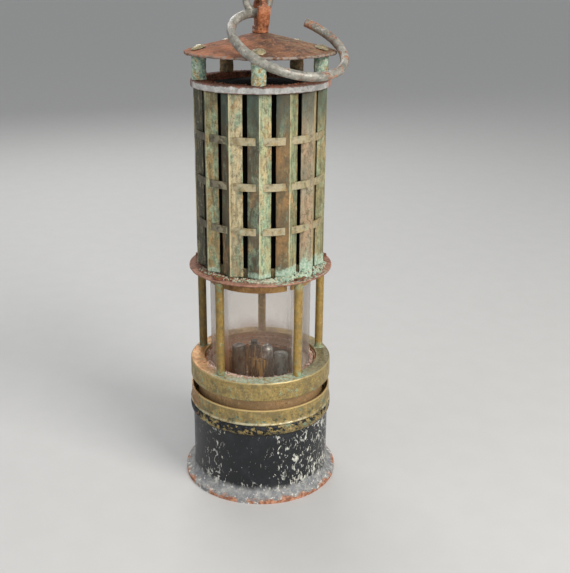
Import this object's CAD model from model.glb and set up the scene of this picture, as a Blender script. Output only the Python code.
import math
import random

import bmesh
import bpy
from mathutils import Matrix, Vector, noise


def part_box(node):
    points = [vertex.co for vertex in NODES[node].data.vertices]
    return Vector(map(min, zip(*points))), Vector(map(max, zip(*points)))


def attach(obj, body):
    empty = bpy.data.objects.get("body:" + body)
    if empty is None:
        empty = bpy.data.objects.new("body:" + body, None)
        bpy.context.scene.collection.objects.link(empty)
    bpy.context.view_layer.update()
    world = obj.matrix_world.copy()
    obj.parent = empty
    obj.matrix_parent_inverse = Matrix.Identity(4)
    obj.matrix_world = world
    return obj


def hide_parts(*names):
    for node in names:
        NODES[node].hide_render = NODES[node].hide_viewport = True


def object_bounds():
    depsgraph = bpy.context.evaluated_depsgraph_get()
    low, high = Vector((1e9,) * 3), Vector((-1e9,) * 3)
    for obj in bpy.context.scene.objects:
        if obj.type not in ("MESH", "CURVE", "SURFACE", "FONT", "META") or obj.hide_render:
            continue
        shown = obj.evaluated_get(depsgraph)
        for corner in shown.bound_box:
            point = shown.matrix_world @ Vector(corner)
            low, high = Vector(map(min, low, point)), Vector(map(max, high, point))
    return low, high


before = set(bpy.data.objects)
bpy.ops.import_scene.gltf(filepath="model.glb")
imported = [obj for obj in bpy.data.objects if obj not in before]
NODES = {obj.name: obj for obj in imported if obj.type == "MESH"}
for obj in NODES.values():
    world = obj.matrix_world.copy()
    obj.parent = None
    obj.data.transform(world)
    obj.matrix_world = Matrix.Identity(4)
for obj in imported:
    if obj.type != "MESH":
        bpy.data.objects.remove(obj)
CAD_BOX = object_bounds()
MM = 0.001


def top(node):
    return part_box(node)[1].z


def foot(node):
    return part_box(node)[0].z


# ---------------------------------------------------------------- camera, light, floor


def make_camera():
    """Stands in front of the lamp and looks down on it by 20 degrees."""
    data = bpy.data.cameras.new("camera")
    data.lens = 55.853
    data.sensor_width = 36
    data.shift_x = 0.0429
    data.clip_start, data.clip_end = 0.01, 100
    cam = bpy.data.objects.new("camera", data)
    cam.location = (0, -0.48806, 0.29647)
    cam.rotation_euler = (math.radians(69.92), 0, 0)
    bpy.context.scene.collection.objects.link(cam)
    bpy.context.scene.camera = cam


def softbox(name, at, aim, size, watts, colour=(1, 1, 1)):
    data = bpy.data.lights.new(name, "AREA")
    data.shape, data.size, data.size_y = "RECTANGLE", size[0], size[1]
    data.energy, data.color = watts, colour
    lamp = bpy.data.objects.new(name, data)
    lamp.location = at
    lamp.rotation_euler = (Vector(aim) - Vector(at)).to_track_quat("-Z", "Y").to_euler()
    bpy.context.scene.collection.objects.link(lamp)


def make_studio():
    """Four soft lights, a grey sky and a pale floor. The key comes from the right."""
    softbox("key", (0.62, -0.62, 0.78), (0, 0, 0.14), (0.5, 0.5), 10.5, (1, 0.97, 0.93))
    softbox("fill", (-0.9, -0.5, 0.5), (0, 0, 0.13), (0.7, 0.9), 1.3, (0.93, 0.96, 1))
    softbox("front", (0.1, -1.1, 0.5), (0, 0, 0.15), (0.5, 0.5), 3.2)
    softbox("back", (-0.3, 0.9, 0.8), (0, 0, 0.16), (0.8, 0.5), 5)
    world = bpy.data.worlds.new("studio")
    world.use_nodes = True
    world.node_tree.nodes["Background"].inputs["Color"].default_value = (0.86, 0.88, 0.9, 1)
    world.node_tree.nodes["Background"].inputs["Strength"].default_value = 0.5
    bpy.context.scene.world = world
    bpy.context.scene.view_settings.view_transform = "Standard"
    mesh = bpy.data.meshes.new("floor")
    n = 24
    mesh.from_pydata(
        [(40 * math.cos(2 * math.pi * k / n), 40 * math.sin(2 * math.pi * k / n), 0) for k in range(n)],
        [],
        [list(range(n))],
    )
    floor = bpy.data.objects.new("floor", mesh)
    floor.location.z = CAD_BOX[0].z
    bpy.context.scene.collection.objects.link(floor)
    look = Look("pale_floor", rough=0.6)
    grain = look.noise(0.02, detail=3)
    look.colour(look.mix(look.ramp(grain, 0.3, 0.7), "#c0bfbd", "#c2c1bf"))
    mesh.materials.append(look.mat)


# ---------------------------------------------------------------- material kit


def tint(code):
    """Linear colour of a hex code."""
    c = [int(code[i : i + 2], 16) / 255 for i in (1, 3, 5)]
    return tuple(v / 12.92 if v < 0.04045 else ((v + 0.055) / 1.055) ** 2.4 for v in c) + (1,)


class Look:
    """One node material, laid out on the piece's own coordinates, in metres."""

    def __init__(self, name, rough=0.5, metal=0.0, spec=0.5):
        self.mat = bpy.data.materials.new(name)
        self.mat.use_nodes = True
        self.tree = self.mat.node_tree
        self.shader = self.tree.nodes["Principled BSDF"]
        self.set(self.shader.inputs["Roughness"], rough)
        self.set(self.shader.inputs["Metallic"], metal)
        self.shader.inputs["Specular IOR Level"].default_value = spec
        self.at = self.node("ShaderNodeTexCoord").outputs["Object"]
        split = self.node("ShaderNodeSeparateXYZ", {"Vector": self.at})
        self.x, self.y, self.z = split.outputs
        self.height = None

    def set(self, socket, value):
        if isinstance(value, bpy.types.NodeSocket):
            self.tree.links.new(value, socket)
        elif isinstance(value, str):
            socket.default_value = tint(value)
        else:
            socket.default_value = value

    def node(self, kind, values=None, **settings):
        n = self.tree.nodes.new(kind)
        for key, value in settings.items():
            setattr(n, key, value)
        for key, value in (values or {}).items():
            self.set(n.inputs[key], value)
        return n

    def calc(self, how, a, b=0.0):
        return self.node("ShaderNodeMath", {0: a, 1: b}, operation=how).outputs[0]

    def mul(self, *parts):
        out = parts[0]
        for p in parts[1:]:
            out = self.calc("MULTIPLY", out, p)
        return out

    def plus(self, *parts):
        out = parts[0]
        for p in parts[1:]:
            out = self.calc("ADD", out, p)
        return out

    def most(self, a, b):
        return self.calc("MAXIMUM", a, b)

    def flip(self, a):
        return self.calc("SUBTRACT", 1.0, a)

    def place(self, stretch, seed, turn=0.0):
        return self.node(
            "ShaderNodeMapping",
            {"Vector": self.at, "Scale": stretch, "Location": (seed * 0.37, seed * 0.61, seed * 0.83),
             "Rotation": (0, 0, turn)},
        ).outputs[0]

    def noise(self, size, detail=4.0, rough=0.55, stretch=(1, 1, 1), seed=0, warp=0.0):
        """Fractal noise whose main features are about size metres across."""
        n = self.node(
            "ShaderNodeTexNoise",
            {"Vector": self.place(stretch, seed), "Scale": 1 / size, "Detail": detail,
             "Roughness": rough, "Distortion": warp},
        )
        return n.outputs[0]

    def ramp(self, value, low, high):
        """Smooth step from 0 at low to 1 at high."""
        n = self.node(
            "ShaderNodeMapRange",
            {"Value": value, "From Min": low, "From Max": high},
            interpolation_type="SMOOTHSTEP",
        )
        return n.outputs[0]

    def fall(self, value, low, high):
        """Smooth step from 1 at low to 0 at high."""
        return self.flip(self.ramp(value, low, high))

    def wavy(self, depth, *size, **more):
        """Height above the floor, made wavy by noise times depth."""
        return self.plus(self.z, self.mul(self.noise(*size, **more), depth))

    def blotch(self, low, high, *size, **more):
        """Patches of noise: 0 where it is under low, 1 over high. The rest goes to noise()."""
        return self.ramp(self.noise(*size, **more), low, high)

    def mix(self, mask, a, b):
        """Colour a where the mask is 0, b where it is 1."""
        n = self.tree.nodes.new("ShaderNodeMix")
        n.data_type = "RGBA"
        self.set(n.inputs[0], mask)
        self.set(n.inputs[6], a)
        self.set(n.inputs[7], b)
        return n.outputs[2]

    def level(self, mask, a, b):
        """Number that goes from a to b with the mask."""
        return self.plus(self.mul(mask, b - a), a)

    def radius(self):
        return self.calc("SQRT", self.plus(self.mul(self.x, self.x), self.mul(self.y, self.y)))

    def side(self, degrees, half, soft=25):
        """1 around a bearing from the front, positive to the right, and 0 further than half away."""
        a = math.radians(degrees)
        along = self.plus(self.mul(self.x, math.sin(a)), self.mul(self.y, -math.cos(a)))
        cosine = self.calc("DIVIDE", along, self.plus(self.radius(), 1e-6))
        return self.ramp(
            cosine, math.cos(math.radians(min(half + soft, 180))), math.cos(math.radians(max(half - soft, 0)))
        )

    def edge(self, radius=0.5 * MM, low=0.03, high=0.2):
        """1 on sharp edges: where the rounded normal leaves the flat one."""
        rounded = self.node("ShaderNodeBevel", {"Radius": radius}, samples=6).outputs[0]
        flat = self.node("ShaderNodeNewGeometry").outputs["Normal"]
        dot = self.node("ShaderNodeVectorMath", {0: rounded, 1: flat}, operation="DOT_PRODUCT")
        return self.ramp(self.flip(dot.outputs["Value"]), low, high)

    def up(self, low=0.3, high=0.8):
        """1 where the surface faces up."""
        n = self.node("ShaderNodeNewGeometry").outputs["Normal"]
        return self.ramp(self.node("ShaderNodeSeparateXYZ", {"Vector": n}).outputs[2], low, high)

    def relief(self, height, depth):
        """Adds to the bump, depth in metres."""
        part = self.mul(height, depth)
        self.height = part if self.height is None else self.plus(self.height, part)

    def colour(self, value):
        self.set(self.shader.inputs["Base Color"], value)

    def rough(self, value):
        self.set(self.shader.inputs["Roughness"], value)

    def metal(self, value):
        self.set(self.shader.inputs["Metallic"], value)

    def done(self, strength=1.0, soften=0.0):
        if self.height is not None:
            bump = self.node("ShaderNodeBump", {"Strength": strength, "Distance": 1.0, "Height": self.height})
            if soften:
                rounded = self.node("ShaderNodeBevel", {"Radius": soften}, samples=6)
                self.set(bump.inputs["Normal"], rounded.outputs[0])
            self.set(self.shader.inputs["Normal"], bump.outputs[0])
        return self.mat


# ---------------------------------------------------------------- materials


def paint_look():
    """Blue-black paint over tinned sheet, chipped, worn bare on the flare, rusty at the rim."""
    k = Look("worn_black_paint", rough=0.42)
    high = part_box("tank_shell")[1]
    right = k.side(62, 35, 30)
    near_foot = k.fall(k.z, 6 * MM, 20 * MM)
    thick = k.plus(
        k.mul(right, 0.09),
        k.mul(near_foot, 0.05),
        k.mul(k.noise(11 * MM, 3, seed=3), 0.17),
        k.mul(k.side(-42, 7, 6), 0.06),
    )
    long_chip = k.noise(2.9 * MM, 6, 0.66, stretch=(1, 1, 0.6), seed=1, warp=1.1)
    chip = k.ramp(k.plus(long_chip, thick), 0.72, 0.745)
    speck = k.ramp(
        k.plus(k.noise(1.2 * MM, 3, 0.6, stretch=(1, 1, 0.7), seed=9), k.mul(thick, 0.4)), 0.745, 0.77
    )
    chip = k.most(chip, speck)
    haze = k.mul(k.blotch(0.45, 0.75, 9 * MM, 5, 0.6, seed=4), 0.35)
    base = k.mix(haze, "#0e1115", "#30353c")
    base = k.mix(k.mul(k.blotch(0.5, 0.8, 0.6 * MM, 2, seed=8), 0.25), base, "#08090b")
    primer = k.mix(k.blotch(0.35, 0.65, 3 * MM, 3, seed=6), "#8f928c", "#cfcdc2")
    body = k.mix(chip, base, primer)
    bare_line = k.wavy(-5.5 * MM, 7 * MM, 5, 0.6, seed=12)
    bare = k.fall(bare_line, 2.2 * MM, 6.4 * MM)
    zinc = k.mix(k.blotch(0.36, 0.66, 4 * MM, 5, 0.6, seed=14), "#77797b", "#9c9b97")
    zinc = k.mix(k.blotch(0.5, 0.75, 1.1 * MM, 4, 0.6, seed=15), zinc, "#5c5d5e")
    low_white = k.fall(k.z, 1.5 * MM, 5 * MM)
    zinc = k.mix(
        k.ramp(k.plus(k.noise(2.2 * MM, 5, 0.7, seed=31), k.mul(low_white, 0.07)), 0.61, 0.65),
        zinc,
        "#d8d4ca",
    )
    body = k.mix(bare, body, zinc)
    rim_line = k.wavy(-4.6 * MM, 5 * MM, 4, 0.6, seed=17)
    rust = k.mul(k.fall(rim_line, -0.5 * MM, 0.5 * MM), k.blotch(0.4, 0.47, 15 * MM, 3, seed=21))
    rusty = k.mix(k.blotch(0.4, 0.62, 1.8 * MM, 4, seed=22), "#8c5a42", "#c08a6c")
    body = k.mix(rust, body, rusty)
    seam = k.ramp(k.wavy(1.2 * MM, 6 * MM, 3, seed=25), high.z - 4.2 * MM, high.z - 3.4 * MM)
    body = k.mix(k.mul(seam, 0.8), body, "#050505")
    k.colour(body)
    k.rough(k.plus(k.level(k.most(chip, bare), 0.34, 0.66), k.mul(rust, 0.2), k.mul(haze, 0.3)))
    k.relief(chip, -0.12 * MM)
    k.relief(k.noise(1.4 * MM, 4, seed=33), 0.09 * MM)
    k.relief(k.mul(rust, k.noise(0.9 * MM, 4, seed=34)), 0.3 * MM)
    return k.done(0.9)


def brass_look(
    name, gold, dark, green="#6f9c84", seed=0, tarnish=0.5, verdigris=0.35, metal=0.55, spots="#3f3a26"
):
    """Aged brass: gold where rubbed, brown-olive tarnish, green bloom in patches, small dark pits."""
    k = Look(name)
    film = k.ramp(k.plus(k.noise(6 * MM, 6, 0.62, seed=seed), (tarnish - 0.5) * 0.5), 0.4, 0.62)
    fine = k.blotch(0.44, 0.6, 1.3 * MM, 4, 0.65, seed=seed + 3)
    base = k.mix(k.mul(k.most(film, k.mul(fine, 0.55)), 0.8), gold, dark)
    bloom = k.ramp(
        k.plus(k.noise(4.5 * MM, 6, 0.68, seed=seed + 5, warp=0.4), (verdigris - 0.5) * 0.34), 0.56, 0.63
    )
    base = k.mix(k.mul(bloom, 0.75), base, green)
    streak = k.noise(1.6 * MM, 6, 0.75, stretch=(1, 1, 0.55), seed=seed + 7)
    base = k.mix(k.mul(k.ramp(streak, 0.5, 0.64), 0.5), base, dark)
    base = k.mix(k.mul(k.fall(streak, 0.34, 0.44), 0.45), base, "#d8c08c")
    pit = k.blotch(0.61, 0.67, 0.9 * MM, 4, 0.65, seed=seed + 8)
    base = k.mix(k.mul(pit, 0.8), base, spots)
    k.base = base
    k.metal(k.mul(k.flip(k.most(k.mul(film, 0.6), bloom)), metal))
    k.rough(k.plus(k.level(film, 0.38, 0.6), k.mul(bloom, 0.25)))
    k.relief(k.noise(0.7 * MM, 4, seed=seed + 11), 0.05 * MM)
    k.relief(k.mul(bloom, k.noise(0.5 * MM, 3, seed=seed + 13)), 0.16 * MM)
    k.relief(pit, -0.08 * MM)
    return k


def collar_look():
    k = brass_look("collar_patina", "#b0975c", "#6c6040", "#5f8272", seed=40, tarnish=0.6, verdigris=0.5)
    low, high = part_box("collar")
    base = k.base
    lip = k.ramp(k.z, high.z - 0.9 * MM, high.z - 0.5 * MM)
    base = k.mix(k.mul(lip, 0.75), base, "#d9bb80")
    blot = k.blotch(0.55, 0.62, 3.2 * MM, 4, 0.6, seed=47, stretch=(1, 1, 1.4))
    low_half = k.fall(k.z, high.z - 5.4 * MM, high.z - 3.4 * MM)
    base = k.mix(k.mul(blot, low_half, 0.8), base, "#3c4436")
    orange = k.mul(k.side(-78, 10, 16), k.blotch(0.42, 0.55, 2 * MM, 4, seed=49))
    base = k.mix(k.mul(orange, 0.7), base, "#9c5a2c")
    bead_top = low.z + 6.5 * MM
    on_bead = k.fall(k.z, bead_top - 0.3 * MM, bead_top)
    flake = k.plus(
        k.noise(3.0 * MM, 6, 0.68, seed=52, stretch=(1, 1, 1.3)),
        k.mul(k.side(55, 30, 25), -0.09),
        k.mul(k.side(-50, 10, 10), -0.08),
        k.mul(k.side(-90, 25, 15), 0.1),
        k.mul(k.ramp(k.z, low.z + 2.5 * MM, low.z + 4.5 * MM), 0.06),
    )
    black = k.mul(on_bead, k.ramp(flake, 0.485, 0.505))
    base = k.mix(black, base, k.mix(k.blotch(0.45, 0.7, 2 * MM, 3, seed=58), "#0e0f12", "#2b2f35"))
    line = k.mul(
        k.ramp(k.z, bead_top - 0.5 * MM, bead_top), k.fall(k.z, bead_top + 1.1 * MM, bead_top + 1.9 * MM)
    )
    base = k.mix(k.mul(line, k.blotch(0.38, 0.56, 4 * MM, 5, 0.65, seed=60), 0.7), base, "#c9c2a4")
    k.colour(base)
    k.relief(black, 0.14 * MM)
    return k.done(1.0, soften=0.25 * MM)


def neck_look():
    k = brass_look(
        "neck_dusty_brass", "#b8956a", "#8f7350", "#7d8a6c", seed=70, tarnish=0.55, verdigris=0.2, metal=0.4
    )
    dust = k.blotch(0.6, 0.7, 1.2 * MM, 4, 0.7, seed=77)
    k.colour(k.mix(k.mul(dust, 0.5), k.base, "#c2ad8c"))
    return k.done(1.0)


def ring_look():
    """Cast lower ring: gold, turned lines on the rim, bloom at the front, orange film at the left."""
    k = brass_look("ring_brass", "#ad955c", "#6b6040", "#8ba387", seed=90, tarnish=0.45, verdigris=0.4)
    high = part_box("lower_ring")[1]
    base = k.base
    face = k.up(0.5, 0.9)
    left = k.mul(face, k.side(-80, 50, 30))
    base = k.mix(
        k.mul(left, k.blotch(0.3, 0.5, 2.5 * MM, 5, seed=95), 0.85),
        base,
        k.mix(k.blotch(0.4, 0.6, 1.3 * MM, 5, 0.7, seed=96), "#a8703f", "#c99562"),
    )
    front = k.mul(face, k.side(5, 40, 25), k.blotch(0.4, 0.52, 2.2 * MM, 5, 0.65, seed=97))
    pale = k.mix(k.blotch(0.4, 0.62, 1.2 * MM, 4, 0.7, seed=98), "#93ab93", "#c3ccb8")
    base = k.mix(k.mul(front, 0.9), base, pale)
    right = k.mul(face, k.side(85, 32, 18))
    base = k.mix(
        k.mul(right, 0.8), base, k.mix(k.blotch(0.4, 0.6, 1.5 * MM, 4, seed=99), "#5f5a44", "#8e8766")
    )
    rim = k.ramp(k.wavy(1.6 * MM, 3 * MM, 4, seed=101), high.z - 0.6 * MM, high.z + 0.6 * MM)
    base = k.mix(k.mul(rim, k.flip(face), 0.6), base, "#c9b483")
    worn = k.edge(0.5 * MM)
    base = k.mix(k.mul(worn, 0.55), base, "#dcc48a")
    lines = k.noise(0.5 * MM, 2, 0.5, stretch=(0.04, 0.04, 1), seed=104)
    base = k.mix(k.mul(k.ramp(lines, 0.55, 0.7), k.flip(face), 0.3), base, "#5c4c2a")
    k.colour(base)
    k.relief(lines, 0.03 * MM)
    return k.done(1.0, soften=0.2 * MM)


def rust_look(name, main, light, dark, seed=0, grime=None, scale=1.0, crust=0.22):
    """Rust in three tones with a sandy, pitted face."""
    k = Look(name, rough=0.85, spec=0.3)
    broad = k.blotch(0.36, 0.64, 7 * MM * scale, 6, 0.62, seed=seed, warp=0.3)
    fine = k.blotch(0.42, 0.66, 1.4 * MM * scale, 5, 0.7, seed=seed + 2)
    base = k.mix(broad, dark, main)
    base = k.mix(k.mul(fine, 0.65), base, light)
    pit = k.blotch(0.60, 0.70, 0.9 * MM * scale, 4, 0.6, seed=seed + 6)
    base = k.mix(k.mul(pit, 0.75), base, grime or "#2a1a14")
    k.fine, k.base = fine, base
    k.relief(k.noise(1.0 * MM * scale, 6, 0.65, seed=seed + 8), crust * MM)
    k.relief(pit, -0.12 * MM)
    return k


def cap_look():
    k = rust_look("cap_rust", "#85593f", "#a97d5c", "#463228", seed=120, crust=0.32)
    left = k.mul(k.side(-75, 55, 35), k.blotch(0.3, 0.6, 5 * MM, 5, seed=126))
    base = k.mix(k.mul(left, 0.6), k.base, "#b4714e")
    centre = k.fall(k.radius(), 10 * MM, 26 * MM)
    base = k.mix(k.mul(centre, k.blotch(0.38, 0.58, 4 * MM, 5, seed=128), 0.7), base, "#523c31")
    dark = k.mul(k.side(35, 35, 30), k.blotch(0.42, 0.6, 6 * MM, 5, 0.65, seed=135))
    base = k.mix(k.mul(dark, 0.6), base, "#4f3a30")
    flake = k.blotch(0.6, 0.66, 2.4 * MM, 5, 0.7, seed=137)
    base = k.mix(k.mul(flake, 0.5), base, "#c6957a")
    rim = k.ramp(k.radius(), 39.6 * MM, 40.5 * MM)
    base = k.mix(k.mul(rim, k.blotch(0.38, 0.55, 2.2 * MM, 4, seed=131), 0.8), base, "#8f8880")
    right = k.mul(k.side(80, 30, 25), k.blotch(0.45, 0.6, 3 * MM, 5, seed=133, stretch=(0.4, 1, 1)))
    base = k.mix(k.mul(right, 0.55), base, "#8c7a5c")
    base = k.mix(k.mul(k.flip(k.up(-0.3, 0.1)), 0.6), base, "#2c211c")
    k.colour(base)
    return k.done(1.0)


def top_ring_look():
    """Zinc grey rim, rust on the upper face, the inner edge and the far right."""
    k = rust_look("top_ring_zinc", "#7a4a38", "#a86a4c", "#40302a", seed=150, crust=0.2)
    low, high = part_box("top_ring")
    zinc = k.mix(k.blotch(0.35, 0.68, 3.5 * MM, 5, 0.65, seed=155), "#a09f9b", "#c9c7c2")
    zinc = k.mix(k.mul(k.blotch(0.6, 0.66, 1.2 * MM, 4, 0.7, seed=157), 0.8), zinc, "#7b6a5e")
    rim = k.ramp(k.radius(), 36.4 * MM, 37.1 * MM)
    upper = k.ramp(k.wavy(2.8 * MM, 3 * MM, 5, 0.6, seed=159), high.z + 0.3 * MM, high.z + 0.8 * MM)
    lower = k.fall(k.wavy(-1.8 * MM, 5 * MM, 4, seed=161), low.z - 0.7 * MM, low.z - 0.2 * MM)
    end = k.most(k.side(88, 12, 10), k.side(-86, 9, 10))
    clean = k.mul(rim, k.flip(k.most(k.most(k.mul(upper, 0.9), k.mul(lower, 0.8)), k.mul(end, 0.9))))
    base = k.mix(clean, k.base, zinc)
    base = k.mix(k.mul(k.side(88, 11, 9), rim, 0.75), base, "#bf7650")
    k.colour(base)
    k.rough(k.level(clean, 0.88, 0.58))
    return k.done(1.0)


def mid_ring_look():
    k = rust_look("mid_ring_rust", "#a47864", "#ba937e", "#775244", seed=170, crust=0.14, grime="#4a2c22")
    face = k.mul(k.up(0.4, 0.8), k.fall(k.radius(), 36.8 * MM, 38.4 * MM))
    base = k.mix(k.mul(face, k.blotch(0.35, 0.55, 3 * MM, 5, seed=175), 0.7), k.base, "#6c4a39")
    mint = k.mul(k.up(0.4, 0.8), k.side(38, 26, 14), k.blotch(0.5, 0.56, 2.4 * MM, 5, 0.65, seed=177))
    base = k.mix(k.mul(mint, 0.85), base, "#a9cdb4")
    under = k.flip(k.up(-0.5, 0))
    base = k.mix(k.mul(under, 0.7), base, "#3a2a22")
    k.colour(base)
    return k.done(1.0)


def lump_rust_look():
    k = rust_look("crusted_iron", "#7c4a34", "#ad7450", "#3e2a22", seed=185, crust=0.3)
    white = k.blotch(0.58, 0.64, 1.6 * MM, 5, 0.7, seed=189)
    k.colour(k.mix(k.mul(white, 0.5), k.base, "#c7b39c"))
    return k.done(1.0)


def seat_look():
    k = rust_look("seat_rust", "#a4663e", "#c58a5c", "#5f3a26", seed=195, crust=0.25)
    pale = k.blotch(0.5, 0.6, 2.2 * MM, 5, 0.7, seed=198)
    k.colour(k.mix(k.mul(pale, 0.6), k.base, "#cdb49a"))
    return k.done(1.0)


def packing_look():
    """Old white packing, stained pink and brown, full of crumbs."""
    k = rust_look("crumbled_packing", "#c9a793", "#e4d6c6", "#96705c", seed=205, crust=0.35, grime="#5e4032")
    mint = k.blotch(0.58, 0.64, 2.6 * MM, 5, 0.65, seed=209)
    k.colour(k.mix(k.mul(mint, 0.5), k.base, "#b9cdb6"))
    return k.done(1.0)


def pale_crust_look():
    """Whitish corrosion with green, grey and brown in it."""
    k = rust_look("pale_crust", "#b3a890", "#d8d2c0", "#7c6f5a", seed=545, crust=0.3, grime="#5a5040")
    green = k.blotch(0.48, 0.56, 2.4 * MM, 5, 0.65, seed=548)
    k.colour(k.mix(k.mul(green, 0.6), k.base, "#9db89f"))
    return k.done(1.0)


def eye_look():
    k = rust_look("eye_forged_iron", "#a3623f", "#c08560", "#5b3524", seed=215, crust=0.16)
    run = k.noise(2.2 * MM, 4, 0.6, stretch=(1, 1, 0.22), seed=219)
    k.colour(k.mix(k.mul(k.ramp(run, 0.5, 0.66), 0.6), k.base, "#7a4630"))
    k.rough(k.level(k.fine, 0.55, 0.75))
    k.relief(run, 0.2 * MM)
    return k.done(1.0)


def hook_look():
    """Zinc-grey bar, darker in the hollows, rust at the free end, the right bend and in specks."""
    k = Look("hook_zinc", metal=0.25)
    tone = k.blotch(0.34, 0.68, 5 * MM, 6, 0.62, seed=230, warp=0.3)
    base = k.mix(tone, "#726f66", "#a19e93")
    base = k.mix(k.mul(k.blotch(0.56, 0.66, 1.3 * MM, 4, 0.65, seed=232), 0.6), base, "#5f5a50")
    base = k.mix(k.mul(k.blotch(0.56, 0.64, 2.1 * MM, 4, 0.65, seed=234), 0.5), base, "#c6c3ba")
    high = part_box("hook")[1]
    toward_right = k.ramp(k.x, 22 * MM, 40 * MM)
    near_eye = k.ramp(k.z, high.z - 9 * MM, high.z - 3 * MM)
    tip = max((v.co for v in NODES["hook"].data.vertices if v.co.x > 10 * MM), key=lambda p: p.z)
    away = k.node("ShaderNodeVectorMath", {0: k.at, 1: tuple(tip)}, operation="DISTANCE").outputs["Value"]
    at_tip = k.fall(away, 3 * MM, 16 * MM)
    weight = k.plus(k.mul(toward_right, 0.08), k.mul(near_eye, 0.04), k.mul(at_tip, 0.13))
    rust = k.ramp(k.plus(k.noise(4.2 * MM, 6, 0.66, seed=236), weight), 0.58, 0.67)
    rusty = k.mix(k.blotch(0.4, 0.6, 1.4 * MM, 4, seed=238), "#7e523b", "#b27a58")
    base = k.mix(k.mul(rust, 0.85), base, rusty)
    k.colour(base)
    k.rough(k.level(rust, 0.44, 0.8))
    k.relief(k.noise(1.6 * MM, 5, 0.6, seed=240), 0.16 * MM)
    k.relief(k.noise(6 * MM, 3, seed=241), 0.3 * MM)
    return k.done(1.0)


def verdigris_look(name="spacer_verdigris", seed=250, ochre=0.7, behind=False):
    k = Look(name, rough=0.8, spec=0.3)
    tone = k.blotch(0.36, 0.64, 2.4 * MM, 6, 0.68, seed=seed, warp=0.4)
    base = k.mix(tone, "#6a8a7a", "#b2bfa6")
    patch = k.ramp(k.plus(k.noise(4.5 * MM, 5, 0.6, seed=seed + 3), (ochre - 0.5) * 0.3), 0.56, 0.64)
    base = k.mix(patch, base, k.mix(k.blotch(0.4, 0.6, 1.2 * MM, 4, seed=seed + 5), "#8f7a4c", "#bfa87c"))
    dark = k.blotch(0.58, 0.68, 1.1 * MM, 4, 0.65, seed=seed + 7)
    base = k.mix(k.mul(dark, 0.7), base, "#3c564b")
    pale = k.blotch(0.54, 0.62, 1.5 * MM, 5, 0.7, seed=seed + 8)
    base = k.mix(k.mul(pale, 0.6), base, "#dcdfcf")
    if behind:
        far = k.ramp(k.y, 4 * MM, 16 * MM)
        base = k.mix(k.mul(far, 0.85), base, k.mix(tone, "#5a4630", "#9a7a50"))
    k.colour(base)
    k.relief(k.noise(0.9 * MM, 5, 0.7, seed=seed + 9), 0.22 * MM)
    k.relief(k.noise(2.4 * MM, 4, seed=seed + 10), 0.2 * MM)
    return k.done(1.0)


def rivet_look():
    k = brass_look(
        "rivet_brass", "#a69a76", "#6f6650", "#8ea58e", seed=265, tarnish=0.5, verdigris=0.25, metal=0.3
    )
    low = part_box("cap_rivets")[0]
    hole = k.blotch(0.58, 0.66, 2 * MM, 4, seed=269)
    base = k.mix(k.mul(hole, 0.6), k.base, "#4a3a2c")
    base = k.mix(k.mul(k.fall(k.z, low.z + 6 * MM, low.z + 9 * MM), 0.7), base, "#3a322a")
    k.colour(base)
    return k.done(1.0)


def pillar_look(seed, dim):
    """Turned pillar: gold with brown and green spots, greener at its ends."""
    k = brass_look(
        f"pillar_brass_{seed}", "#b3924e", "#7c683c", "#6f927a",
        seed=280 + seed * 7, tarnish=0.5, verdigris=0.42,
    )
    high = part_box("pillar_1")[1]
    ends = k.most(
        k.fall(k.z, top("lower_ring") + 1 * MM, top("lower_ring") + 5 * MM),
        k.ramp(k.z, high.z - 9 * MM, high.z - 3 * MM),
    )
    blot = k.blotch(0.46, 0.54, 2.2 * MM, 5, 0.65, seed=290 + seed)
    base = k.mix(k.mul(ends, blot, 0.8), k.base, "#9cb697")
    base = k.mix(dim, base, "#2e281c")
    k.colour(base)
    k.relief(k.noise(2 * MM, 3, stretch=(1, 1, 0.3), seed=295), 0.15 * MM)
    return k.done(1.0)


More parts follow.
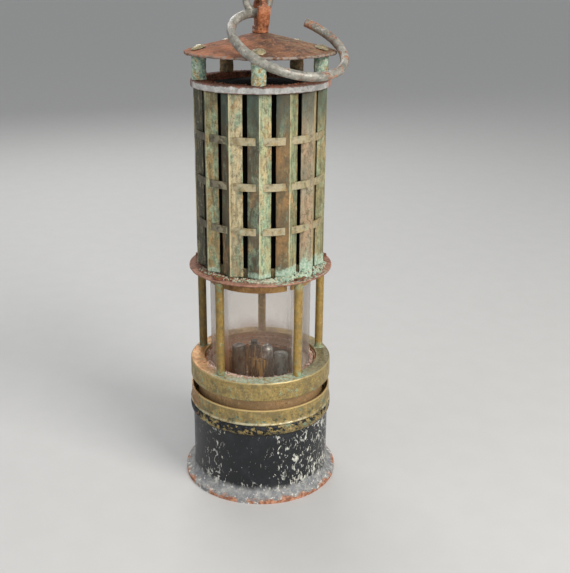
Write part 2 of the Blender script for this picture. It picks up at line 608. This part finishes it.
def slat_look(name, turn, left, right, mint, ochre, crust, seed):
    """Slat: one pair of colours left of its crest, one right of it, films of corrosion, a worn crest."""
    k = Look(name, spec=0.4)
    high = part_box("slat_01")[1]
    along = k.node("ShaderNodeSeparateXYZ", {"Vector": k.place((1, 1, 1), 0, turn)}).outputs[0]
    mottle = k.noise(2.1 * MM, 7, 0.78, stretch=(1, 1, 0.6), seed=seed + 9)
    on_right = k.ramp(along, -0.1 * MM, 0.1 * MM)
    broad = k.blotch(0.38, 0.62, 9 * MM, 5, 0.62, stretch=(1, 1, 0.55), seed=seed, warp=0.3)
    base = k.mix(on_right, k.mix(broad, left[0], left[1]), k.mix(broad, right[0], right[1]))
    run = k.ramp(
        k.plus(
            k.noise(5 * MM, 7, 0.72, stretch=(1.3, 1.3, 0.45), seed=seed + 2, warp=0.5), (mint - 0.5) * 0.32
        ),
        0.51,
        0.6,
    )
    green = k.mix(k.blotch(0.38, 0.62, 2 * MM, 4, seed=seed + 4), "#668c78", "#a3b897")
    shade = k.flip(k.mul(k.flip(on_right), 0.35))
    base = k.mix(k.mul(run, shade, 0.72), base, green)
    patch = k.ramp(
        k.plus(k.noise(6 * MM, 6, 0.68, stretch=(1, 1, 0.4), seed=seed + 6), (ochre - 0.5) * 0.3), 0.53, 0.61
    )
    tan = k.mix(k.blotch(0.4, 0.62, 1.6 * MM, 4, seed=seed + 8), "#94683a", "#c09a64")
    base = k.mix(k.mul(patch, shade, 0.7), base, tan)
    drag = k.noise(1.3 * MM, 5, 0.7, stretch=(1, 1, 0.12), seed=seed + 15)
    base = k.mix(k.mul(k.ramp(drag, 0.5, 0.6), 0.45), base, "#5c5a44")
    base = k.mix(k.mul(k.fall(drag, 0.38, 0.46), on_right, 0.3), base, "#cdbf90")
    head = k.ramp(k.plus(k.z, k.mul(mottle, -14 * MM)), high.z - 34 * MM, high.z - 14 * MM)
    base = k.mix(k.mul(head, k.flip(on_right), 0.7), base, "#3a4f49")
    soot = k.blotch(0.5, 0.66, 11 * MM, 4, 0.6, stretch=(1, 1, 0.5), seed=seed + 7)
    base = k.mix(k.mul(soot, 0.5), base, "#4f4e3c")
    base = k.mix(k.mul(k.ramp(mottle, 0.49, 0.62), 0.68), base, "#57503a")
    base = k.mix(k.mul(k.fall(mottle, 0.33, 0.45), on_right, 0.36), base, "#d0c49c")
    speckle = k.blotch(0.56, 0.64, 0.9 * MM, 4, 0.7, seed=seed + 10)
    base = k.mix(k.mul(speckle, 0.6), base, "#4a4534")
    low = foot("slat_01")
    climb = k.mul(k.noise(5 * MM, 5, 0.7, seed=seed + 11), -22 * MM * crust)
    heap = k.fall(k.plus(k.z, climb), low - 5 * MM, low - 2 * MM)
    crusty = k.mix(k.blotch(0.38, 0.62, 1.3 * MM, 5, 0.7, seed=seed + 13), "#86a892", "#c2d2bd")
    base = k.mix(k.mul(heap, 0.85 if crust > 0.3 else 0.3), base, crusty)
    pale = k.blotch(0.6, 0.68, 1.3 * MM, 4, 0.7, seed=seed + 12)
    base = k.mix(k.mul(pale, on_right, 0.32), base, "#e0d8bf")
    crest = k.fall(k.calc("ABSOLUTE", k.calc("SUBTRACT", along, 0.25 * MM)), 0.18 * MM, 0.5 * MM)
    worn = k.mul(crest, k.blotch(0.36, 0.5, 6 * MM, 4, stretch=(1, 1, 0.4), seed=seed + 14))
    base = k.mix(k.mul(worn, 0.5), base, "#d6c99c")
    inner = k.fall(k.radius(), 32.9 * MM, 33.3 * MM)
    base = k.mix(k.mul(inner, 0.85), base, "#15130f")
    k.colour(base)
    k.metal(k.mul(k.flip(k.most(run, patch)), 0.25))
    k.rough(k.level(k.most(run, patch), 0.52, 0.78))
    k.relief(k.noise(1.0 * MM, 5, 0.65, seed=seed + 16), 0.14 * MM)
    k.relief(k.mul(run, k.noise(0.6 * MM, 3, seed=seed + 18)), 0.14 * MM)
    return k.done(1.0)


def band_look():
    k = brass_look(
        "band_brass", "#aea27c", "#716949", "#93ab90", seed=330, tarnish=0.5, verdigris=0.52, metal=0.25
    )
    tan = k.blotch(0.48, 0.58, 5 * MM, 6, 0.68, seed=334)
    base = k.mix(k.mul(tan, 0.5), k.base, "#a58655")
    grime = k.blotch(0.48, 0.6, 2.2 * MM, 6, 0.72, seed=336)
    base = k.mix(k.mul(grime, 0.55), base, "#4d4a38")
    left = k.side(-80, 52, 12)
    base = k.mix(k.mul(left, 0.78), base, "#2e2d25")
    pale = k.mul(k.side(5, 45, 30), k.blotch(0.4, 0.55, 3 * MM, 4, seed=338))
    base = k.mix(k.mul(pale, 0.5), base, "#b9ae92")
    base = k.mix(k.mul(k.fall(k.radius(), 34.9 * MM, 35.2 * MM), 0.8), base, "#15130f")
    k.colour(base)
    return k.done(1.0)


def strap_look():
    k = brass_look("strap_brass", "#a57a46", "#6a4c2e", "#8b8a62", seed=345, tarnish=0.45, verdigris=0.05)
    right = k.ramp(k.x, 2 * MM, 18 * MM)
    base = k.mix(k.mul(right, 0.6), k.base, "#d2ab6c")
    left = k.fall(k.x, -24 * MM, -8 * MM)
    base = k.mix(k.mul(left, 0.5), base, "#5a4432")
    k.colour(base)
    return k.done(1.0)


def glass_look():
    """Clear lamp glass, dusty, rust-stained low at the left and the back, with dark streaks at the right."""
    k = Look("dusty_glass", rough=0.16, spec=0.5)
    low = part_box("glass")[0]
    film = k.noise(10 * MM, 5, 0.6, stretch=(1, 1, 0.5), seed=360)
    low_down = k.fall(k.z, low.z + 8 * MM, low.z + 34 * MM)
    stain = k.mul(
        k.side(-38, 40, 30), k.fall(k.plus(k.z, k.mul(film, -16 * MM)), low.z + 6 * MM, low.z + 20 * MM)
    )
    back = k.mul(
        k.side(-172, 60, 30), k.fall(k.plus(k.z, k.mul(film, -10 * MM)), low.z + 2 * MM, low.z + 14 * MM)
    )
    streak = k.mul(k.side(48, 12, 10), k.blotch(0.4, 0.6, 3 * MM, 4, stretch=(1, 1, 0.1), seed=362))
    colour = k.mix(k.most(stain, k.mul(back, 0.8)), "#c4bbb0", "#b58a6c")
    colour = k.mix(k.mul(streak, 0.8), colour, "#5a463a")
    speck = k.blotch(0.62, 0.7, 1.4 * MM, 4, 0.7, seed=364)
    colour = k.mix(k.mul(speck, low_down), colour, "#e8dccf")
    k.colour(colour)
    k.relief(film, 0.15 * MM)
    k.done(0.6)
    cover = k.plus(
        0.03,
        k.mul(k.ramp(film, 0.35, 0.7), 0.03),
        k.mul(stain, 0.05),
        k.mul(back, 0.3),
        k.mul(streak, 0.14),
        k.mul(speck, low_down, 0.2),
    )
    shine = k.node("ShaderNodeFresnel", {"IOR": 1.25}).outputs[0]
    mask = k.plus(cover, k.mul(shine, 0.55))
    clear = k.node("ShaderNodeBsdfTransparent", {"Color": (0.975, 0.962, 0.95, 1)})
    both = k.node("ShaderNodeMixShader", {0: mask, 1: clear.outputs[0], 2: k.shader.outputs[0]})
    k.set(k.tree.nodes["Material Output"].inputs["Surface"], both.outputs[0])
    return k.mat


def gauze_look():
    """Sooty wire cloth: round wires over and under at 0.9 mm."""
    k = Look("sooty_gauze", rough=0.95, spec=0.1)
    turn = k.calc("ARCTAN2", k.y, k.x)
    around = k.calc("SINE", k.mul(turn, 90.0))
    upward = k.calc("SINE", k.mul(k.z, math.pi / (0.45 * MM)))
    wire = k.calc("ABSOLUTE", k.mul(around, upward))
    rust = k.blotch(0.5, 0.7, 8 * MM, 5, seed=380)
    base = k.mix(wire, "#141210", "#030303")
    k.colour(k.mix(k.mul(rust, 0.3), base, "#24160f"))
    k.relief(wire, -0.25 * MM)
    return k.done(1.0)


def sooty_look(name, base_tone, high_tone, seed, metal=0.5, gold=None):
    """Burner metal under soot, with rubbed streaks."""
    k = Look(name, metal=metal)
    soot = k.blotch(0.4, 0.6, 4 * MM, 5, 0.62, seed=seed, stretch=(1, 1, 0.4))
    base = k.mix(soot, high_tone, base_tone)
    if gold:
        rubbed = k.blotch(0.52, 0.6, 3.2 * MM, 3, stretch=(1, 1, 0.12), seed=seed + 3)
        base = k.mix(k.mul(rubbed, 0.85), base, gold)
    speck = k.blotch(0.62, 0.7, 1 * MM, 3, seed=seed + 5)
    k.colour(k.mix(k.mul(speck, 0.7), base, "#b1aca0"))
    k.rough(k.level(soot, 0.26, 0.55))
    k.relief(k.noise(1.2 * MM, 4, seed=seed + 7), 0.10 * MM)
    k.relief(k.noise(4 * MM, 3, seed=seed + 8), 0.35 * MM)
    return k.done(1.0, soften=0.3 * MM)


def tin_look():
    k = Look("tinned_steel", metal=0.55)
    rust = k.blotch(0.5, 0.62, 9 * MM, 6, 0.65, seed=410)
    base = k.mix(k.blotch(0.35, 0.65, 3 * MM, 4, seed=412), "#6d6b66", "#8d8a83")
    k.colour(k.mix(k.mul(rust, 0.8), base, "#7a4a31"))
    k.rough(k.level(rust, 0.45, 0.85))
    k.metal(k.mul(k.flip(rust), 0.55))
    k.relief(k.noise(1.5 * MM, 5, seed=414), 0.12 * MM)
    return k.done(1.0, soften=0.3 * MM)


def fibre_look():
    k = Look("pressed_fibre", rough=0.9, spec=0.2)
    weave = k.noise(0.8 * MM, 4, stretch=(0.3, 1, 1), seed=420)
    k.colour(k.mix(k.ramp(weave, 0.35, 0.65), "#241f1b", "#4a4038"))
    k.relief(weave, 0.1 * MM)
    return k.done(1.0)


def cotton_look(name, pale, dark, seed, char=None):
    """Cotton: fine fibres; a wick is charred at its head."""
    k = Look(name, rough=0.95, spec=0.15)
    fibre = k.noise(0.7 * MM, 5, 0.7, stretch=(1, 1, 0.25), seed=seed, warp=0.8)
    base = k.mix(k.ramp(fibre, 0.35, 0.65), dark, pale)
    if char is not None:
        base = k.mix(k.ramp(k.z, char - 6 * MM, char - 1 * MM), base, "#0d0b0a")
    k.colour(base)
    k.relief(fibre, 0.25 * MM)
    k.shader.inputs["Sheen Weight"].default_value = 0.3
    return k.done(1.0)


# ---------------------------------------------------------------- geometry kit


def joined(nodes, voxel):
    """CAD nodes as one closed mesh of small even faces."""
    bm = bmesh.new()
    for n in nodes:
        bm.from_mesh(NODES[n].data)
    bmesh.ops.remove_doubles(bm, verts=bm.verts, dist=1e-7)
    raw = bpy.data.meshes.new("raw")
    bm.to_mesh(raw)
    bm.free()
    return evened(raw, voxel)


def evened(raw, voxel):
    """The same surface in small even faces about a voxel wide."""
    ob = bpy.data.objects.new("raw", raw)
    bpy.context.scene.collection.objects.link(ob)
    even = ob.modifiers.new("even", "REMESH")
    even.mode, even.voxel_size, even.use_smooth_shade = "VOXEL", voxel, True
    graph = bpy.context.evaluated_depsgraph_get()
    mesh = bpy.data.meshes.new_from_object(ob.evaluated_get(graph))
    bpy.data.objects.remove(ob)
    return mesh


def soften(mesh, times):
    """Rounds off corners and small steps."""
    bm = bmesh.new()
    bm.from_mesh(mesh)
    for _ in range(times):
        bmesh.ops.smooth_vert(
            bm, verts=bm.verts, factor=0.5, use_axis_x=True, use_axis_y=True, use_axis_z=True
        )
    bm.to_mesh(mesh)
    bm.free()


def weather(mesh, depth, size, seed=0, octaves=4, bias=0.55, where=None):
    """Eats into a mesh along its normals by fractal noise, mostly inwards."""
    shift = Vector((seed * 1.7, seed * 2.3, seed * 3.1))
    moved = []
    for v in mesh.vertices:
        h = noise.fractal(v.co / size + shift, 0.8, 2.1, octaves)
        d = depth * (h - bias)
        moved.append(v.co + v.normal * (d * (where(v.co) if where else 1.0)))
    for v, co in zip(mesh.vertices, moved):
        v.co = co


def piece(name, mesh, body, look, slot, *replaced):
    """Puts a mesh in the scene on its body, in place of the nodes that it replaces."""
    mesh.name = name
    mesh.materials.clear()
    mesh.materials.append(look)
    ob = bpy.data.objects.new(name, mesh)
    bpy.context.scene.collection.objects.link(ob)
    for p in mesh.polygons:
        p.use_smooth = True
    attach(ob, body)
    if replaced:
        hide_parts(*replaced)
    return ob


def aged(name, nodes, body, look, slot, voxel=0.4, depth=0.15, size=3.0, seed=1, rounds=1, **more):
    """Worn copy of CAD nodes, which it replaces; sizes in millimetres."""
    mesh = joined(nodes, voxel * MM)
    if rounds:
        soften(mesh, rounds)
    weather(mesh, depth * MM, size * MM, seed, **more)
    return piece(name, mesh, body, look, slot, *nodes)


def crumbs(name, spots, body, look, slot, seed, fuse=0.0):
    """Squashed, dented lumps in one mesh, fused if asked for. A spot is a centre and a size."""
    pick = random.Random(seed)
    bm = bmesh.new()
    bmesh.ops.create_icosphere(bm, subdivisions=2, radius=1)
    bm.verts.index_update()
    ball = [v.co.copy() for v in bm.verts]
    facets = [[v.index for v in f.verts] for f in bm.faces]
    bm.free()
    verts, faces = [], []
    for centre, r in spots:
        turn = Matrix.Rotation(
            pick.uniform(0, 6.28), 3, Vector((pick.random(), pick.random(), 1)).normalized()
        )
        shape = turn @ Matrix.Diagonal((r, r * pick.uniform(0.6, 1), r * pick.uniform(0.45, 0.9)))
        first = len(verts)
        for p in ball:
            out = shape @ p
            verts.append(centre + out * (1 + 0.55 * noise.noise((centre + out) / (r * 0.9))))
        faces += [[first + i for i in f] for f in facets]
    mesh = bpy.data.meshes.new(name)
    mesh.from_pydata(verts, [], faces)
    if fuse:
        mesh = evened(mesh, fuse * MM)
        weather(mesh, 0.25 * MM, 0.8 * MM, seed, bias=0.1)
    return piece(name, mesh, body, look, slot)


def around(angle, r, z):
    """Point at an angle from the front, positive to the right, a radius and a height."""
    return Vector((r * math.sin(angle), -r * math.cos(angle), z))


def bearing(node):
    """Angle of a node from the front, positive to the right, in radians."""
    cos = [v.co for v in NODES[node].data.vertices]
    mid = sum(cos, Vector()) / len(cos)
    return math.atan2(mid.x, -mid.y)


# ---------------------------------------------------------------- slats


def slat_outline(node, turn):
    """The six corners of a slat's section in its own axes: x along the face, y outwards."""
    low = foot(node)
    spin = Matrix.Rotation(-turn, 3, "Z")
    found = {}
    for v in NODES[node].data.vertices:
        if v.co.z < low + 0.01 * MM:
            p = spin @ v.co
            found[(round(p.x, 5), round(-p.y, 5))] = Vector((p.x, -p.y))
    corners = list(found.values())
    left, right = min(corners, key=lambda p: p.x), max(corners, key=lambda p: p.x)
    middle = sorted((p for p in corners if abs(p.x) < 0.5 * MM), key=lambda p: p.y)
    inner = sorted((p for p in corners if p not in (left, right) and abs(p.x) >= 0.5 * MM), key=lambda p: p.x)
    return [left, middle[-1], right, inner[-1], middle[0], inner[0]]


def slat_ring(outline, steps, round_off):
    """Points round the outline, its corners cut back and its sides divided."""
    pts = []
    n = len(outline)
    for i, corner in enumerate(outline):
        before, after = outline[i - 1], outline[(i + 1) % n]
        cut = min(round_off, (before - corner).length * 0.35, (after - corner).length * 0.35)
        a = corner + (before - corner).normalized() * cut
        b = corner + (after - corner).normalized() * cut
        pts += [a, (a + b + corner * 2) / 4, b]
        far = after + (corner - after).normalized() * min(round_off, (after - corner).length * 0.35)
        count = steps if (after - corner).length > 2 * MM else 1
        pts += [b.lerp(far, k / count) for k in range(1, count)]
    return pts


def make_slat(index, node, look, slot):
    """V-section slat with rounded corners, small dents, a slight bow and ragged ends."""
    turn = bearing(node)
    low, high = foot(node), top(node)
    ring = slat_ring(slat_outline(node, turn), 5, 0.3 * MM)
    rows = 90
    spin = Matrix.Rotation(turn, 3, "Z")
    verts, faces = [], []
    n = len(ring)
    for r in range(rows + 1):
        t = r / rows
        z = low + (high - low) * t
        bow = 0.22 * MM * noise.noise(Vector((index * 5.1, t * 2.2, 0.3))) * math.sin(math.pi * t)
        for q in ring:
            p = Vector((q.x + bow, q.y, z))
            dent = noise.fractal(Vector((q.x * 260 + index * 9, q.y * 260, z * 95)), 0.8, 2.0, 3)
            edge_wave = noise.noise(Vector((index * 3.3 + (7 if q.x > 0 else 0), z * 210, 1.7)))
            p.x *= 1 - 0.022 * abs(edge_wave)
            p.y -= 0.12 * MM * (0.5 + dent)
            if r == 0:
                p.z += 0.5 * MM * (0.5 + 0.5 * noise.noise(Vector((q.x * 700, index, 0))))
            verts.append(spin @ Vector((p.x, -p.y, p.z)))
        if r:
            a, b = (r - 1) * n, r * n
            faces += [(a + k, a + (k + 1) % n, b + (k + 1) % n, b + k) for k in range(n)]
    faces += [tuple(reversed(range(n))), tuple(range(rows * n, rows * n + n))]
    mesh = bpy.data.meshes.new("slat")
    mesh.from_pydata(verts, [], faces)
    bm = bmesh.new()
    bm.from_mesh(mesh)
    bmesh.ops.recalc_face_normals(bm, faces=bm.faces)
    bm.to_mesh(mesh)
    bm.free()
    return piece(f"{node}_worn", mesh, "cage", look, slot, node)


# By the slat's number, counted from the front one to the right: left face, right face, mint, ochre
SLAT_TONES = {
    0: (("#4c473b", "#6f614d"), ("#a3ac84", "#c3b084"), 0.62, 0.42),
    1: (("#6a5a43", "#93724a"), ("#7f9272", "#a39c70"), 0.45, 0.5),
    2: (("#a59a82", "#a98f72"), ("#b89c66", "#a58a5a"), 0.3, 0.42),
    3: (("#8b8a62", "#a3966c"), ("#7f805c", "#94885e"), 0.62, 0.4),
    10: (("#3c3b31", "#4a473a"), ("#4a493d", "#57523f"), 0.2, 0.2),
    11: (("#33332b", "#3f3e33"), ("#43433a", "#4f4c3f"), 0.12, 0.12),
    12: (("#5f5238", "#6f5f3f"), ("#8c8a62", "#a5895a"), 0.62, 0.45),
    13: (("#4e4032", "#5f4c38"), ("#a89d7e", "#c0ae86"), 0.5, 0.56),
}


def make_slats():
    pick = random.Random(5)
    names = sorted(n for n in NODES if n.startswith("slat_"))
    for node in names:
        turn = bearing(node)
        index = round(math.degrees(turn) % 360 / (360 / len(names))) % len(names)
        plain = (
            ("#8a8058", "#6f6a4c"),
            ("#a0905f", "#8c8a66"),
            pick.uniform(0.35, 0.65),
            pick.uniform(0.35, 0.6),
        )
        left, right, mint, ochre = SLAT_TONES.get(index, plain)
        crust = {0: 0.55, 1: 0.8, 2: 1.0, 3: 0.85, 12: 0.5}.get(index, 0.3)
        look = slat_look(f"slat_brass_{index:02d}", -turn, left, right, mint, ochre, crust, 300 + index * 23)
        make_slat(index, node, look, "slat_brass")


# ---------------------------------------------------------------- the lamp


def paint_node(look, *nodes):
    """Gives CAD nodes a material and leaves their shape alone."""
    for n in nodes:
        NODES[n].data.materials.clear()
        NODES[n].data.materials.append(look)


def make_tank():
    paint_node(paint_look(), "tank_shell")
    paint_node(tin_look(), "tank_floor")
    plain = brass_look("inner_brass", "#8f7443", "#5f4f30", seed=440, verdigris=0.3)
    plain.colour(plain.base)
    paint_node(
        plain.done(1.0, soften=0.3 * MM), "tank_top", "wick_bush", "igniter_bush", "filler_plug", "wick_knob"
    )
    paint_node(collar_look(), "collar")
    paint_node(fibre_look(), "filler_gasket", "seal_washer", "upper_gasket")
    paint_node(
        sooty_look("burner_sooty_brass", "#191a19", "#454743", 450, metal=0.3, gold="#b48c48"), "burner"
    )
    paint_node(sooty_look("sooty_iron", "#181918", "#5b5e5a", 460, metal=0.3), "wick_guide")
    paint_node(
        sooty_look("sooty_steel", "#242625", "#7d807b", 470, metal=0.3), "igniter_case", "igniter_knob"
    )
    paint_node(sooty_look("nozzle_steel", "#43464a", "#b4b6b0", 480, metal=0.4), "igniter_nozzle")
    spindle = brass_look("spindle_brass", "#a08850", "#6a5836", seed=490, verdigris=0.1)
    spindle.colour(spindle.base)
    paint_node(spindle.done(1.0), "wick_spindle", "igniter_spindle")
    cotton = cotton_look("cotton_wadding", "#d8cfba", "#a59880", 500)
    aged(
        "wadding_tufted", ["wadding"], "tank", cotton, "cotton",
        voxel=1.1, depth=1.6, size=5, seed=11, rounds=3,
    )
    braid = cotton_look("wick_cotton", "#8c7c64", "#4c4234", 510, char=top("wick"))
    aged("wick_charred", ["wick"], "wick", braid, "wick_cotton", voxel=0.3, depth=0.25, size=1.2, seed=12)


def make_lower_cage():
    paint_node(neck_look(), "neck_ring")
    aged(
        "lower_ring_worn", ["lower_ring"], "cage", ring_look(), "ring_brass",
        voxel=0.4, depth=0.07, size=4, seed=3,
    )
    aged(
        "glass_seat_rusted", ["glass_seat"], "cage", seat_look(), "rusty_iron",
        voxel=0.35, depth=0.3, size=1.6, seed=4,
    )
    aged(
        "packing_crumbled", ["lower_gasket"], "cage", packing_look(), "packing",
        voxel=0.35, depth=0.5, size=1.3, seed=5,
    )
    paint_node(glass_look(), "glass")
    paint_node(strap_look(), "split_ring")
    for i in range(1, 6):
        turn = bearing(f"pillar_{i}")
        left = max(0.0, -math.sin(turn))
        paint_node(pillar_look(i, 0.62 * left * left), f"pillar_{i}")
    aged(
        "mid_ring_rusted", ["mid_ring"], "cage", mid_ring_look(), "mid_rust",
        voxel=0.3, depth=0.1, size=2.5, seed=6,
    )
    aged(
        "pillar_ends_rusted", ["pillar_ends"], "cage", lump_rust_look(), "rusty_iron",
        voxel=0.3, depth=0.4, size=1.5, seed=7,
    )
    dull = brass_look("foot_band_brass", "#6f6040", "#3f3828", seed=520, verdigris=0.4)
    dull.colour(dull.base)
    paint_node(dull.done(1.0), "bonnet_foot")


def make_packing_grains():
    """Crumbs of packing by the glass foot, and corrosion round the feet of the pillars."""
    pick = random.Random(21)
    seat = foot("lower_gasket") + 3.2 * MM
    ring_top, ring_edge = top("lower_ring"), 40.6 * MM
    spots = []
    for _ in range(420):
        a = pick.uniform(-math.pi, math.pi)
        r = pick.uniform(29.6, 32.0) * MM
        z = seat + pick.uniform(-0.6, 0.5) * MM
        spots.append((around(a, r, z), pick.uniform(0.25, 0.7) * MM))
    for _ in range(260):
        a = math.radians(pick.triangular(-75, 20, -32))
        r = pick.triangular(32.6, 36.5, 33.4) * MM
        spots.append((around(a, r, ring_top + 0.1 * MM), pick.uniform(0.2, 0.6) * MM))
    crumbs("packing_grains", spots, "cage", packing_look(), "packing", 31, fuse=0.2)
    feet = []
    for i in range(1, 6):
        lo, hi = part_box(f"pillar_{i}")
        mid = (lo + hi) / 2
        for _ in range(34):
            b = pick.uniform(0, 2 * math.pi)
            r = pick.uniform(2.2, 3.5) * MM
            z = ring_top + pick.uniform(-0.25, 0.15) * MM
            at = Vector((mid.x + r * math.cos(b), mid.y + r * math.sin(b), z))
            if at.xy.length < ring_edge:
                feet.append((at, pick.uniform(0.25, 0.6) * MM))
    foot_look = verdigris_look("foot_verdigris", 530, 0.5)
    crumbs("pillar_foot_crust", feet, "cage", foot_look, "spacer_verdigris", 33, fuse=0.2)


def make_bonnet_crust():
    """Corrosion on the mid ring by the slat feet: mint at the right, pale at the front, rust behind."""
    pick = random.Random(23)
    level = top("mid_ring")
    left_end, right_end = -66, 88
    heap_at, heap_half = 42, 36
    mint, pale, rust = [], [], []
    for _ in range(3400):
        d = pick.uniform(left_end, right_end)
        a = math.radians(d)
        r = pick.triangular(33.4, 37.9, 35.8) * MM
        size = pick.uniform(0.2, 0.75) * MM
        heap = max(0.0, 1 - abs(d - heap_at) / heap_half)
        rise = (1.3 + 3.6 * heap) * max(0.0, 1 - abs(r / MM - 35) / 3)
        z = level + size * 0.3 + pick.random() ** 1.5 * rise * MM
        at = around(a, r, z)
        if d > 12 and pick.random() < 0.3 + 0.6 * heap:
            mint.append((at, size))
        elif -10 < d < 40 or pick.random() < 0.5:
            pale.append((at, size))
        elif pick.random() < 0.7:
            rust.append((at, size))
    for _ in range(220):
        a = math.radians(pick.uniform(90, 300))
        r = pick.uniform(33, 37) * MM
        rust.append((around(a, r, level + 0.2 * MM), pick.uniform(0.25, 0.6) * MM))
    mint_look = verdigris_look("crust_verdigris", 540, 0.3)
    crumbs("mint_crust", mint, "cage", mint_look, "spacer_verdigris", 35, fuse=0.22)
    crumbs("pale_crust", pale, "cage", pale_crust_look(), "spacer_verdigris", 36, fuse=0.22)
    crumbs("rust_crust", rust, "cage", lump_rust_look(), "rusty_iron", 37, fuse=0.25)


def make_bonnet():
    paint_node(gauze_look(), "gauze_outer", "gauze_inner")
    make_slats()
    paint_node(band_look(), "band_lower", "band_middle", "band_upper")
    make_bonnet_crust()
    bore, eaten = 30.5 * MM, 2.5 * MM

    def near_bore(p):
        return 1 + 4 * max(0.0, 1 - (p.xy.length - bore) / eaten)

    aged(
        "top_ring_rusted", ["top_ring"], "cage", top_ring_look(), "top_iron",
        voxel=0.35, depth=0.13, size=2.2, seed=8, where=near_bore,
    )
    pick = random.Random(27)
    flakes = []
    level = top("top_ring")
    for _ in range(380):
        a = pick.uniform(-math.pi, math.pi)
        r = bore + (pick.random() ** 2 * 5 - 0.1) * MM
        flakes.append((around(a, r, level - 0.15 * MM), pick.uniform(0.2, 0.6) * MM))
    crumbs("top_ring_flakes", flakes, "cage", lump_rust_look(), "rusty_iron", 39, fuse=0.2)


def make_cap():
    spacer = verdigris_look(behind=True)
    aged(
        "spacers_corroded", ["spacers"], "cage", spacer, "spacer_verdigris",
        voxel=0.3, depth=0.3, size=2.2, seed=9,
    )

    def off_axis(p):
        return min(1.0, max(0.0, p.xy.length / MM - 7) / 3)

    aged(
        "cap_rusted", ["cap"], "cage", cap_look(), "cap_rust",
        voxel=0.4, depth=0.28, size=5, seed=10, bias=0.3, where=off_axis,
    )
    aged(
        "rivets_worn", ["cap_rivets"], "cage", rivet_look(), "rivet_brass",
        voxel=0.3, depth=0.3, size=3, seed=13,
    )
    iron = eye_look()
    aged(
        "eye_forged", ["eye"], "eye", iron, "eye_rust",
        voxel=0.35, depth=0.25, size=3, seed=14, rounds=5, bias=0.0,
    )
    aged(
        "eye_washer_rusted", ["eye_washer"], "eye", lump_rust_look(), "rusty_iron",
        voxel=0.3, depth=0.15, seed=15, bias=1.0,
    )
    aged(
        "hook_worn", ["hook"], "hook", hook_look(), "hook_steel",
        voxel=0.4, depth=0.11, size=4, seed=16, bias=0.4,
    )


make_camera()
make_studio()
make_tank()
make_lower_cage()
make_packing_grains()
make_bonnet()
make_cap()
